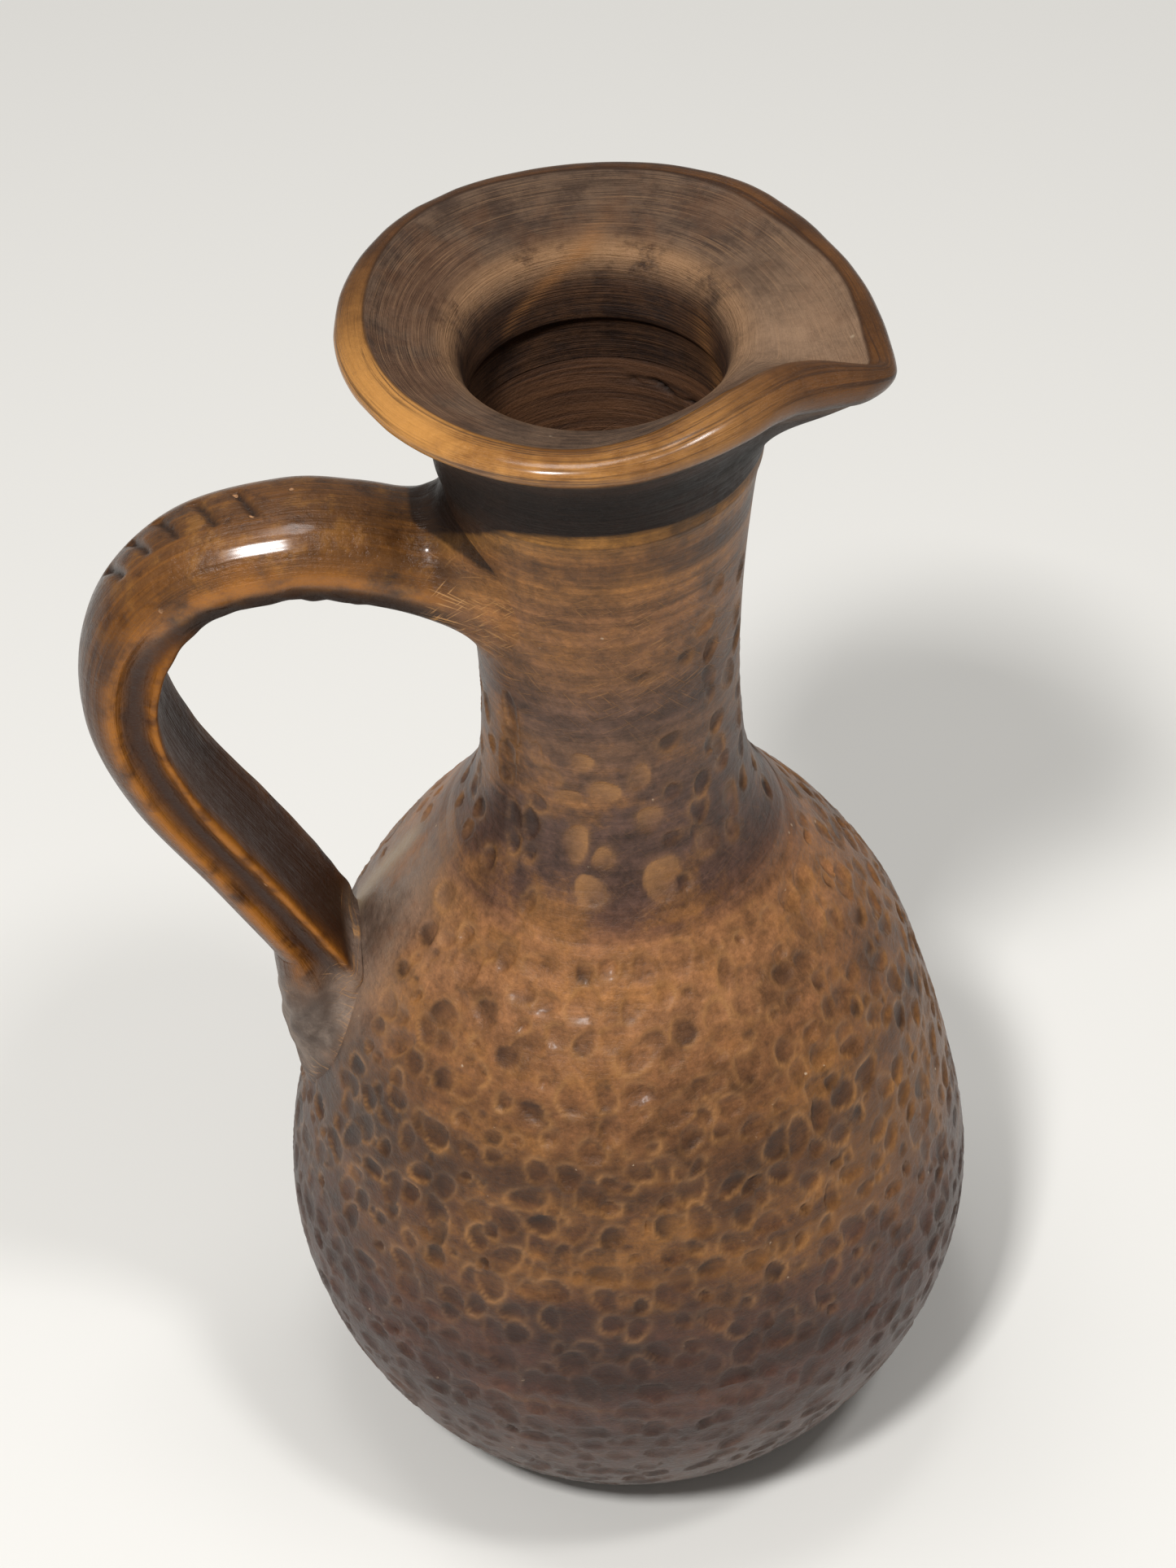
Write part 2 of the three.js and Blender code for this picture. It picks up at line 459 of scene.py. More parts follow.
def turnedGrid(radii, heights, columns):
    # rows of points round the vessel, uneven as a thrown wall is
    angles = np.arange(columns) * 2 * math.pi / columns
    swing = radii[:, None] + wobbleAt(angles, heights[:, None])
    level = np.broadcast_to(heights[:, None], swing.shape)
    return np.stack([swing * np.cos(angles), swing * np.sin(angles), level], -1), angles


def seamLine(angles, height):
    # the tooled line where the neck was luted on: a shallow groove with a light edge below it, burnished and
    # painted lighter as the highlight on the groove's lower lip
    line = vessel["neckSeam"] - 0.6 + 0.8 * np.sin(2 * angles + 0.6) + 0.5 * np.sin(5 * angles)
    broken = np.clip(0.35 + 0.9 * ripple(angles, height * 0, 77, 8, (17, 0)), 0, 1)
    return -0.28 * bump(height - line, 1.5), 0.35 * broken * bump(height - line + 1.8, 0.6)


def insideSteps(low, high, step, fineFrom):
    # heights down the inside, close together where the throat can be seen
    fine = np.arange(high, fineFrom, -0.5)
    start = min(high, fineFrom)
    return np.concatenate([fine, np.linspace(start, low, int((start - low) / step) + 1)])


def darkBandDip(fromHandle, height):
    # how far the dark band under the lip, dark glaze deepened with painted shade, runs down beside the
    # handle, m
    return mm * 19 * bump(fromHandle, 36) * ease(225, 250, height)


def slipSheenCover(fromHandle, height):
    # the grey slip smoothed over the wall round the handle's foot; its grey is partly a painted sheen
    return bump(fromHandle, 22) * ease(80, 105, height) * ease(176, 150, height)


def wallPiece(name, low, high, wall, step, columns, paint, insideStep, bottom=None):
    # one thrown section, dimpled outside; bottom gives the belly its foot and floor
    arcs = np.linspace(arcAt(low), arcAt(high), int((arcAt(high) - arcAt(low)) / step) + 1)
    radii = np.interp(arcs, outlineArc, outlineRadius)
    heights = np.interp(arcs, outlineArc, outlineHeight)
    lowInside = low if bottom is None else bottom + wall
    insideHeights = insideSteps(lowInside, high, insideStep, 252 if name == "neck_clay" else high)
    insideRadii = radiusAt(insideHeights) - wall
    head = np.zeros((0, 2))
    tail = np.zeros((0, 2))
    if bottom is not None:
        head = np.array([(r, 0) for r in (0.4, 8, 16, 24, 32, 38, 42, 43.4)])
        corner = insideRadii[-1]
        tail = np.array([(corner - 1.5, bottom + 3), (corner - 6, bottom + 0.8)]
                        + [(r, bottom) for r in (34, 24, 14, 6, 0.4)])
    allRadii = np.concatenate([head[:, 0], radii, insideRadii, tail[:, 0]])
    allHeights = np.concatenate([head[:, 1], heights, insideHeights, tail[:, 1]])
    grid, angles = turnedGrid(allRadii, allHeights, columns)
    relief = np.zeros(grid.shape[:2])
    shades = {key: np.zeros(grid.shape[:2]) for key in ("stain", "line", "inside", "crack")}
    outer = slice(len(head), len(head) + len(arcs))
    relief[outer], shades["stain"][outer], shades["line"][outer] = press(angles, arcs, radii)
    groove, burnishAndHighlight = seamLine(angles, heights[:, None])
    relief[outer] += groove
    shades["line"][outer] = np.maximum(shades["line"][outer], burnishAndHighlight * 0.8)
    relief[outer] *= ease(2, 12, heights)[:, None]
    shades["inside"][len(head) + len(arcs):] = 1
    fromHandle = halfTurn(np.degrees(angles) + 180)
    level = allHeights[:, None]
    shades["slip"] = slipSheenCover(fromHandle, level)
    beadAt = fromHandle + 12 + (level - 145) * 0.1      # a run of pale slip beside the handle's foot, painted light as the highlight on its ridge
    shades["bead"] = bump(beadAt, 4.5) * ease(126, 134, level) * ease(160, 150, level)
    shades["dip"] = darkBandDip(fromHandle, level)
    if name == "neck_clay":
        shades["crack"] = throatCrack(angles, level) * shades["inside"]
        relief -= 1.2 * shades["crack"]
    slope = np.gradient(outlinePoints, outlineArc, axis=0)
    rise, lean = [np.interp(arcs, outlineArc, column)[:, None] for column in slope.T[::-1]]
    normals = gridNormals(grid, bottom is None)
    outward = np.broadcast_arrays(rise * np.cos(angles), rise * np.sin(angles), -lean)
    normals[outer] = np.stack(outward, -1)
    grid = grid + normals * relief[:, :, None]
    return gridPiece(name, grid, bottom is None, shades, paint)


def throatCrack(angles, heights):
    # a short drying crack in the throat's back wall
    offset = np.degrees(angles) - 54
    path = 257 + 0.05 * offset + 0.5 * np.sin(offset / 4)
    broken = np.clip(0.6 + 0.5 * np.sin(offset / 3 + 1), 0, 1)
    return bump(heights - path, 0.55) * ease(20, 14, np.abs(offset)) * broken


clay = {
    # screen colours of the body from foot to lip, by height in mm; the near-black stretch under the rolled
    # lip (266 to 281) is dark glaze deepened with painted shadow of the lip
    "bands": [(0, "35271f"), (18, "49372f"), (42, "4b342c"), (60, "4a3028"), (78, "50342a"),
              (88, "533527"), (100, "50311d"), (120, "634025"), (136, "7f5433"), (150, "9a6943"),
              (159, "976640"), (165, "634230"), (171, "523a30"), (188, "5c443a"), (206, "6a4d39"),
              (214, "60473a"), (226, "785335"), (240, "835937"), (248, "855a31"), (253, "5f4028"),
              (258, "82562e"), (264.5, "a8753a"), (266, "21130c"), (275, "170e0a"), (281, "2c1d15"),
              (286, "5c4838"), (290, "3a281c")],
    "gold": "9a6733", "dark": "2f1d12",                     # smudges in the body
    "pit": "291b16", "facet": "a9794a",                     # inside the dimples, on the light facets
    "edge": "ae7c4a", "edgeLow": "7a5f4f",                  # burnished lines, high and low on the belly
    "slip": ("5f5148", "9a887a"), "bead": "b09a80", "speck": "c9b094",
    "throat": ("38251a", "64432c"), "crack": "120c09",
    "roughness": 0.4, "coat": 0.16, "bumpStrength": 0.7, "bumpHeight": 0.8,     # mm
}


def clayBody(paint, base, patchy, combed):
    # brushed streaks, smudges and grain that all the fired clay shares, and the noises they are made of
    fine = paint.noise(paint.stretched(18, 18, 620), 1, 7, 0.68)
    broad = paint.noise(paint.stretched(5, 5, 95), 1, 4, 0.55)
    cloud = paint.noise(paint.place, 40, 7, 0.68)
    mottle = paint.noise(paint.place, 185, 6, 0.74)
    grain = paint.noise(paint.place, 800, 3, 0.65)
    gold = paint.between(broad * 0.35 + cloud * 0.65, 0.49, 0.6)
    dark = paint.between(broad * 0.35 + cloud * 0.65, 0.5, 0.38)
    colour = paint.mixed(gold * 0.55 * patchy, base, clay["gold"])
    colour = paint.mixed(dark * 0.6, colour, clay["dark"])
    shadeOf = (1 + (fine - 0.5) * combed * 2.4) * (1 + (mottle - 0.5) * 2.4) * (0.55 + grain * 0.9)
    grey = paint.joined(shadeOf, shadeOf, shadeOf)
    return paint.mixed(1, colour, grey, "MULTIPLY"), cloud, fine, grain, mottle


def wallColour(paint):
    # the vessel's own colour at any height, used wherever another piece blends into its wall
    top = 0.3       # height of the ramp's end, m
    height = paint.part("Z")
    warp = paint.noise(paint.stretched(12, 12, 70), 1, 5, 0.6) - 0.5
    stops = [(z * mm / top, tone(code)) for z, code in clay["bands"]]
    at = height + paint.shade("dip") + warp * (0.055 - height * 0.175)
    base = paint.node("ShaderNodeValToRGB", {"stops": stops}, {0: at / top})
    # the dark band under the lip is dark glaze deepened with painted shadow of the lip; no smudges or
    # scratches go on it
    belowDarkBand = paint.between(height, 0.262, 0.256)
    patchy = paint.between(height, 0.075, 0.105, 0.1, 1) * belowDarkBand
    combed = paint.between(height, 0.155, 0.175, 0.3, 0.6) + paint.between(height, 0.232, 0.244) * 0.4
    colour, cloud, fine, grain, mottle = clayBody(paint, base, patchy, combed)
    # grey slip round the handle's foot; the grey is partly a painted sheen
    slipped = paint.shade("slip") * paint.between(paint.noise(paint.stretched(60, 60, 14), 1, 4), 0.3, 0.48)
    slip = paint.mixed(paint.between(cloud, 0.38, 0.62), *clay["slip"])
    colour = paint.mixed(slipped * 0.85, colour, slip)
    scraped = paint.between(height, 0.204, 0.225) * paint.between(height, 0.252, 0.243)
    hair = scratches(paint, 0.45) * (0.08 + scraped * 0.42) + scratches(paint, -1.3) * (0.06 + scraped * 0.38)
    colour = paint.mixed(hair * belowDarkBand, colour, clay["edge"])
    relief = grain * 0.45 + fine * (0.15 + combed) + cloud * 0.9 + mottle * 0.6 - hair * 0.5
    rough = clay["roughness"] + 0.3 * (grain - 0.4) + 0.35 * (mottle - 0.5)
    return colour, relief, rough, cloud, fine, grain


def scratches(paint, tilt):
    # short straight scratches across the wall at a slant
    x, z = [paint.part(axis) for axis in "XZ"]
    ruled = paint.joined(x * 110 + z * 110 * tilt, z * 2100 - x * 2100 * tilt, tilt * 9)
    return paint.between(paint.noise(ruled, 1, 2, 0.5), 0.6, 0.68)


def vesselPaint():
    paint = Paint("vesselClay")
    colour, relief, rough, cloud, fine, grain = wallColour(paint)
    stain = paint.shade("stain")
    line = paint.shade("line")
    worn = paint.between(paint.noise(paint.place, 170, 3), 0.25, 0.5)
    height = paint.part("Z")
    turned = paint.noise(paint.stretched(5, 5, 68), 1, 3, 0.5)
    belly = paint.between(height, 0.028, 0.05) * paint.between(height, 0.135, 0.115)
    colour = paint.mixed(paint.between(turned, 0.5, 0.6) * belly * 0.42, colour, clay["pit"])
    colour = paint.mixed(paint.between(turned, 0.46, 0.36) * belly * 0.3, colour, clay["gold"])
    colour = paint.mixed(stain * (0.68 + cloud * 0.42), colour, clay["pit"])
    colour = paint.mixed(paint.between(stain, 0, -0.9) * (0.55 + grain * 0.6), colour, clay["facet"])
    high = paint.between(height, 0.06, 0.1)
    edge = paint.mixed(high, clay["edgeLow"], clay["edge"])
    colour = paint.mixed(line * worn * (0.74 + high * 0.18), colour, edge)
    speck = paint.specks(130, 0.03, 0.06) * paint.between(grain, 0.5, 0.6)
    colour = paint.mixed(speck * 0.7, colour, clay["speck"])
    # the pale run beside the handle's foot: slip with a painted highlight
    colour = paint.mixed(paint.shade("bead") * 0.85, colour, clay["bead"])
    inside = paint.shade("inside")
    colour = paint.mixed(inside, colour, paint.mixed(paint.between(fine, 0.36, 0.66), *clay["throat"]))
    colour = paint.mixed(paint.shade("crack"), colour, clay["crack"])
    return paint.finish({
        "Base Color": colour, "Roughness": rough + stain * 0.05 + inside * 0.2, "IOR": 1.45,
        "Specular IOR Level": 0.26, "Coat Roughness": 0.24, "Coat Weight": clay["coat"] * (1 - inside),
        "Normal": paint.bumped(relief),
    })


vesselClay = vesselPaint()
wallPiece("belly_clay", 0, vessel["bellySeam"], vessel["bellyWall"], vessel["bellyStep"],
          vessel["bellyColumns"], vesselClay, vessel["insideStep"], vessel["floor"])
wallPiece("shoulder_clay", vessel["bellySeam"], vessel["neckSeam"], vessel["shoulderWall"],
          vessel["bellyStep"], vessel["bellyColumns"], vesselClay, vessel["insideStep"])
wallPiece("neck_clay", vessel["neckSeam"], vessel["mouthSeam"], vessel["neckWall"], vessel["neckStep"],
          vessel["neckColumns"], vesselClay, vessel["throatStep"])
for part in ("belly", "shoulder", "neck"):
    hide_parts(part)
print("vessel walls pressed")

mouth = {
    # radius, height, share of the crest's movement, lip finish, inside finish; up the outside, over the
    # rolled lip and down the throat
    "section": [(31.2, 262, 0, 0, 0), (32, 267, 0, 0, 0), (33.6, 273, 0, 0, 0), (36.4, 279, 0, 0, 0),
                (40.2, 284.4, 0, 0, 0), (43.6, 287.5, 0, 0, 0), (46, 288.8, 0, 0.3, 0),
                (47.4, 290.3, 0.1, 0.9, 0), (47.5, 292, 0.35, 1, 0), (46, 293.4, 0.6, 1, 0),
                (43.5, 293.9, 0.85, 1, 0), (41.2, 293.3, 1, 1, 0.3), (39.2, 292, 1, 0.9, 1),
                (36.4, 290.7, 1, 0, 1), (33, 289.6, 1, 0, 1), (29.8, 288.4, 1, 0, 1),
                (27.3, 286.6, 1, 0, 1), (25.4, 283.6, 1, 0, 1), (24.4, 279, 1, 0, 1),
                (24.2, 273.2, 1, 0, 1), (25.3, 271.3, 1, 0, 1), (25.8, 268, 1, 0, 1),
                (25.8, 262, 1, 0, 1)],
    "step": 0.6, "columns": 470,
    # how far the rim is drawn out and up, mm, by bearing in degrees: its crest and its outer edge
    "crest": [(-180, 0, 0), (-108, 0, 0), (-95, -0.3, 0.2), (-80, -1.3, 1.2), (-68, -2, 2.7),
              (-56, -2.4, 3.7), (-45, -1.8, 3.8), (-37, -0.4, 3.2), (-30, 3.2, 1.6), (-26, 7.4, -0.4),
              (-22, 12, -3), (-18, 10.5, -3.6), (-12, 8, -3.4), (-2, 5.4, -2.9), (10, 3.9, -2.4),
              (23, 2.7, -1.8), (34, 2.5, -1.4), (48, 2.6, -1), (62, 1.4, -0.5), (83, 0, 0), (180, 0, 0)],
    "outer": [(-180, 0, 0), (-105, 0, 0), (-85, -0.4, 0), (-72, -1, 0.8), (-60, -1.1, 1.4),
              (-50, -1.3, 1.3), (-42, -0.5, 0.4), (-34, 3.2, -1.2), (-28, 6.8, -3), (-22, 8.6, -4),
              (-15, 6.9, -3.4), (-2, 4.4, -2.8), (10, 2.9, -2.3), (23, 2, -1.8), (34, 2.3, -1.4),
              (48, 2.6, -1), (62, 1.4, -0.5), (83, 0, 0), (180, 0, 0)],
    "lipWobble": 0.35,
    "lipEdge": 41.3,        # radius where the glossy lip gives way to the dusty flare
    "pinches": [(7, 1.6), (13, 1.3), (19, 1.8)],    # finger pleats beside the spout: bearing, half width
    "orange": ("84531f", "c88d48"), "brown": ("46290f", "6e451f"), "streak": "2f1c10",      # lip
    "dust": ("46352a", "66503f"), "dustWarm": "66452e", "dustDark": "2d1f16", "dustLight": "8b6b4e",
    # the crest colour is a worn crest with a painted highlight, mostly at the back
    "trough": "96785e", "crestWear": "a07a57", "rub": "96663a", "deep": ("2d1c13", "5a3c26"),
    "speck": "c2ac90", "coat": 0.5,
}


def drawnRim(table, degrees):
    # the rim's movement at each bearing, rounded off between the stations of its table
    spread = np.linspace(-4, 4, 17)
    weights = bump(spread, 2.2)
    stations, out, up = np.array(table, float).T
    at = halfTurn(degrees[..., None] + spread)
    return [(np.interp(at, stations, values) * weights).sum(-1) / weights.sum() for values in (out, up)]


def spoutAngles(count):
    # bearings round the mouth in radians, closer together at the spout
    even = np.linspace(-180, 180, 2881)
    crowd = 1 + 1.6 * bump(even + 28, 34)
    passed = np.concatenate([[0], np.cumsum((crowd[1:] + crowd[:-1]) / 2)])
    return np.radians(np.interp(np.arange(count) * passed[-1] / count, passed, even))


def mouthPiece(paint):
    section, down = smoothLine(mouth["section"], mouth["step"])
    angles = spoutAngles(mouth["columns"])[None, :]
    radius, height, crest, lip, inside = section.T[:, :, None]
    crest, lip, inside = np.clip([crest, lip, inside], 0, 1)
    degrees = np.degrees(angles)
    crestOut, crestUp = drawnRim(mouth["crest"], degrees)
    outerOut, outerUp = drawnRim(mouth["outer"], degrees)
    strength = ease(25.5, 40.5, radius) ** 1.2 * ease(vessel["mouthSeam"], 286, height)
    strength = np.where(crest > 0.5, strength, ease(vessel["mouthSeam"], 287, height) ** 2)
    uneven = mouth["lipWobble"] * ripple(angles, height * 0, 31, 7, (7, 0))
    out = crest * crestOut + (1 - crest) * outerOut + uneven
    up = crest * crestUp + (1 - crest) * outerUp + uneven * 0.8
    radial = radius + wobbleAt(angles, height) + strength * out
    level = height + strength * up
    grid = np.stack([radial * np.cos(angles), radial * np.sin(angles), level], -1)
    rings = inside * np.sin(radius * 3.1 + np.sin(angles)) * 0.05
    dents = -0.16 * np.clip(ripple(angles, height, 37, 14, (24, 0.5)), 0, 2) * lip
    pleats = 0
    for bearing, wide in mouth["pinches"]:
        pleats = pleats - 0.3 * bump(degrees - bearing - (radius - 40) * 0.5, wide) * inside
    pleats = pleats * ease(33, 37, radius)
    grid = grid + gridNormals(grid, True) * (rings + dents + pleats)[:, :, None]
    # front is 1 on the side of the mouth towards the front-left lamp and the camera, and paints the lip's lit
    # side
    front = 0.5 + 0.5 * np.cos(angles + math.radians(125))
    lipEdge = mouth["lipEdge"] - 2.6 * np.cos(angles + math.radians(75))
    lipEdge = lipEdge + 2.8 * bump(degrees - 6, 24) + uneven
    flare = crest > 0.7
    lip = np.where(flare, ease(-1.1 - 1.6 * bump(degrees - 20, 45), 1, radius - lipEdge), lip)
    back = 0.5 + 0.5 * np.sin(angles)
    bearing = halfTurn(degrees)
    streak = bump(level - 276 - (128 - bearing) * 0.27, 1.7) * ease(76, 90, bearing) * ease(136, 124, bearing)
    patch = bump(bearing - 24 - (level - 270) * 0.5, 7) * ease(258, 264, level) * ease(284, 276, level)
    dipped = darkBandDip(halfTurn(degrees + 180), level)
    # the worn crest of the throat, painted lighter mostly at the back as a painted highlight
    worn = bump(radius - 27, 2.1) * (0.25 + 0.75 * back) * ease(280, 285, height)
    shades = {"lip": lip, "inside": np.where(flare, 1 - lip, inside), "front": front, "down": down[:, None],
              "trough": bump(halfTurn(degrees + 10), 34), "throat": ease(288, 278, height) * inside,
              "crestWear": inside * worn, "rub": inside * (streak + patch), "dip": (1 - inside) * dipped}
    return gridPiece("mouth_clay", grid, True, shades, paint)


def mouthPaint():
    paint = Paint("mouthClay")
    lip, inside, throat, front = [paint.shade(name) for name in ("lip", "inside", "throat", "front")]
    wearAndHighlight, rub, trough = [paint.shade(name) for name in ("crestWear", "rub", "trough")]
    colour, relief, rough, cloud = wallColour(paint)[:4]
    x, y = [paint.part(axis) for axis in "XY"]
    swept = paint.joined(x * 14, y * 14, paint.shade("down"))
    drag = paint.noise(swept, 1.5, 6, 0.68, 0.3)
    hairs = paint.noise(swept, 5, 4, 0.65)
    mottle = paint.noise(paint.place, 110, 7, 0.72)
    orange = paint.mixed(paint.between(cloud, 0.35, 0.65), *mouth["orange"])
    brown = paint.mixed(paint.between(cloud, 0.35, 0.7), *mouth["brown"])
    # the rolled lip is painted bright orange on the side towards the front-left lamp and brown round the
    # back: painted light and shade
    rolled = paint.mixed(paint.between(front, 0.5, 1.08), brown, orange)
    rolled = paint.mixed(paint.between(drag, 0.5, 0.64) * 0.7, rolled, mouth["streak"])
    rolled = paint.mixed(paint.between(lip, 1, 0.5) * 0.7, rolled, mouth["streak"])
    dust = paint.mixed(paint.between(mottle, 0.36, 0.62), *mouth["dust"])
    dust = paint.mixed(paint.between(cloud, 0.5, 0.62) * 0.45, dust, mouth["dustWarm"])
    dust = paint.mixed(paint.between(hairs, 0.48, 0.36) * 0.6, dust, mouth["dustDark"])
    dust = paint.mixed(paint.between(hairs, 0.54, 0.66) * 0.6, dust, mouth["dustLight"])
    # the pale trough by the spout is dust, lightened further as painted light where the spout's inner wall
    # faces the lamps
    dust = paint.mixed(trough * (0.05 + mottle * 1.1), dust, mouth["trough"])
    deep = paint.mixed(paint.between(hairs * 0.5 + mottle * 0.5, 0.4, 0.6), *mouth["deep"])
    lining = paint.mixed(throat, dust, deep)
    # the throat's crest painted lighter: wear and a painted highlight
    lining = paint.mixed(wearAndHighlight * paint.between(mottle, 0.3, 0.5) * 0.85, lining, mouth["crestWear"])
    lining = paint.mixed(rub * paint.between(hairs, 0.35, 0.6) * 0.8, lining, mouth["rub"])
    colour = paint.mixed(paint.between(inside, 0.3, 0.75), colour, lining)
    colour = paint.mixed(paint.between(lip, 0.25, 0.75), colour, rolled)
    colour = paint.mixed(paint.specks(75, 0.03, 0.06) * inside * 0.8, colour, mouth["speck"])
    dry = paint.between(inside, 0.3, 0.8)
    rough = rough - 0.12 * lip + dry * 0.2 + drag * 0.12 - wearAndHighlight * 0.25 + (mottle - 0.5) * 0.5
    relief = relief * (1 - lip * 0.5) + drag * 1.2 + hairs * dry * 0.8 + mottle * 0.9
    return paint.finish({
        "Base Color": colour, "Roughness": rough, "IOR": 1.45, "Specular IOR Level": 0.3,
        "Coat Roughness": 0.16, "Coat Weight": mouth["coat"] * lip, "Normal": paint.bumped(relief),
    })


mouthClay = mouthPiece(mouthPaint())
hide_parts("mouth")
print("mouth drawn out")

handle = {
    # centre line of the strap in the XZ plane, mm, from the neck end to the shoulder end
    "line": [(-41.5, 241.8), (-48, 243.8), (-60, 245.4), (-78.5, 241.2), (-91.5, 227.5), (-95.4, 208),
             (-89.8, 187.5), (-77.2, 164.5), (-70.3, 151.5), (-65.6, 142.6)],
    "halfWidth": [13.2, 12.9, 12.5, 13, 13.2], "halfThick": [7.4, 7.3, 7.1, 6.9, 6.8],   # neck to shoulder
    "step": 0.75, "columns": 132,
    "channelFrom": 40, "channelFull": 62,       # where the side channels start and are full, mm
    # half of the section from outer middle to inner middle: share of half width, of half thickness, ridge
    # and channel
    "rounded": [(0, 1.2, 0, 0), (0.4, 1.12, 0, 0), (0.68, 0.92, 0.1, 0), (0.87, 0.58, 0.2, 0),
                (0.97, 0.2, 0.5, 0), (1, -0.1, 0.85, 0), (0.995, -0.35, 0.2, 0), (0.98, -0.6, 0, 0.4),
                (0.91, -0.84, 0, 0.8), (0.76, -0.99, 0, 0.6), (0.42, -1.03, 0, 0), (0, -1, 0, 0)],
    "channelled": [(0, 1.16, 0, 0), (0.4, 1.08, 0, 0), (0.68, 0.89, 0, 0), (0.88, 0.6, 0.2, 0),
                   (0.99, 0.26, 1, 0), (0.9, 0, 0.3, 0.7), (0.84, -0.3, 0, 1), (0.9, -0.62, 0.2, 0.7),
                   (1, -0.86, 1, 0), (0.93, -1.03, 0.3, 0), (0.5, -0.97, 0, 0), (0, -0.92, 0, 0)],
    "notches": [(-67.6, 2.2), (-75.4, 2), (-83, 2.1), (-88.8, 2.4), (-94, 1.8)],    # x and y of each, mm
    "body": ("48301d", "6b4524"), "pulled": "9a6124", "thin": "2e1c11",     # brushed along the strap
    "light": "99682f", "dark": "2d1a10", "low": "3a1c04", "channel": "2b1a13", "ridge": "b97322",
    "under": ("22150e", "4c270e"), "hatch": "c8935a", "valley": "1d120c", "cut": "241a15", "chip": "c9966a",
    "coat": 0.35,
}


def roundTrip(half, columns):
    # even samples round the closed curve through a half section and its mirror image
    half = np.array(half, float)
    section = np.vstack([half, half[-2:0:-1] * (-1, 1, 1, 1)])
    count = len(section)
    t = np.arange(columns) * count / columns
    i = t.astype(int)
    f = (t - i)[:, None]
    a, b, c, d = [section[(i + k) % count] for k in (-1, 0, 1, 2)]
    return glide(a, b, c, d, f)


def strapRows():
    # the strap's points before any unevenness, and where each lies along and round it
    line, along = smoothLine(handle["line"], handle["step"])
    share = along / along[-1]
    wide = np.interp(share, np.linspace(0, 1, len(handle["halfWidth"])), handle["halfWidth"])
    thick = np.interp(share, np.linspace(0, 1, len(handle["halfThick"])), handle["halfThick"])
    channelled = ease(handle["channelFrom"], handle["channelFull"], along)[:, None, None]
    rings = [roundTrip(handle[kind], handle["columns"])[None] for kind in ("rounded", "channelled")]
    ring = rings[0] * (1 - channelled) + rings[1] * channelled
    heading = unit(np.gradient(line, axis=0))
    outward = np.stack([heading[:, 1], -heading[:, 0]], 1)
    across = wide[:, None] * ring[:, :, 0]
    away = thick[:, None] * ring[:, :, 1]
    grid = np.stack([line[:, 0, None] + outward[:, 0, None] * away, across,
                     line[:, 1, None] + outward[:, 1, None] * away], -1)
    return grid, along, across, away, ring, heading


def strapPiece(paint):
    grid, along, across, away, ring, heading = strapRows()
    turn = np.arange(handle["columns"])[None, :] * 2 * math.pi / handle["columns"]
    length = along[:, None]
    channelled = ease(handle["channelFrom"], handle["channelFull"], length)
    # the strap's underside, painted darker as shade
    under = ease(-0.22, -0.45, ring[:, :, 1]) * (1 - channelled)
    under = under + ease(-0.5, -0.75, ring[:, :, 1]) * channelled
    lumps = 0.2 * ripple(turn, length / 9, 41, 12, (3, 1.3))
    rough = 0.4 * np.clip(ripple(turn, length / 2.2, 43, 18, (14, 1.6)), -1, 1.5) * under
    rough = rough * (1 - 0.8 * channelled)
    pulled = 0.06 * ripple(turn, length / 60, 47, 14, (30, 1.0))
    fade = ease(0, 6, length) * ease(along[-1], along[-1] - 6, length)
    relief = (lumps + rough) * fade + pulled
    cut = np.zeros_like(relief)
    for x, y in handle["notches"]:
        outside = (away > 0) * (grid[:, :, 2] > 226)
        slant = (grid[:, :, 1] - y) * 0.42
        cut += outside * bump(grid[:, :, 0] - x + slant, 0.8) * ease(5, 3.8, np.abs(grid[:, :, 1] - y + 0.6))
    cut = np.minimum(cut, 1)
    relief = relief - 1.1 * cut
    grid = grid + gridNormals(grid, False) * relief[:, :, None]
    shades = {"ridge": np.clip(ring[:, :, 2], 0, 1), "channel": np.clip(ring[:, :, 3], 0, 1), "under": under,
              "cut": cut, "along": length, "across": across, "outside": ease(0, 0.6, ring[:, :, 1])}
    strap = gridPiece("strap", grid, False, shades, paint, 70)
    return strap, grid, ring, heading, along


def landOnVessel(points, heading):
    # slides points along a heading until they meet the vessel's wall
    low = np.zeros(len(points))
    high = np.full(len(points), 60.0)
    for _ in range(30):
        middle = (low + high) / 2
        at = points + heading * middle[:, None]
        outside = np.hypot(at[:, 0], at[:, 1]) > radiusAt(at[:, 2])
        low = np.where(outside, middle, low)
        high = np.where(outside, high, middle)
    return points + heading * low[:, None]


def offWall(points):
    # bearing from the handle side, height and distance off the vessel's wall
    x, y, height = points[..., 0], points[..., 1], points[..., 2]
    bearing = np.arctan2(-y, -x)
    wall = radiusAt(height) + wobbleAt(bearing + math.pi, height)
    return np.stack([bearing, height, np.hypot(x, y) - wall], -1)


def fromWall(places):
    bearing, height, lift = places[..., 0], places[..., 1], places[..., 2]
    reach = radiusAt(height) + wobbleAt(bearing + math.pi, height) + lift
    return np.stack([-reach * np.cos(bearing), -reach * np.sin(bearing), height], -1)


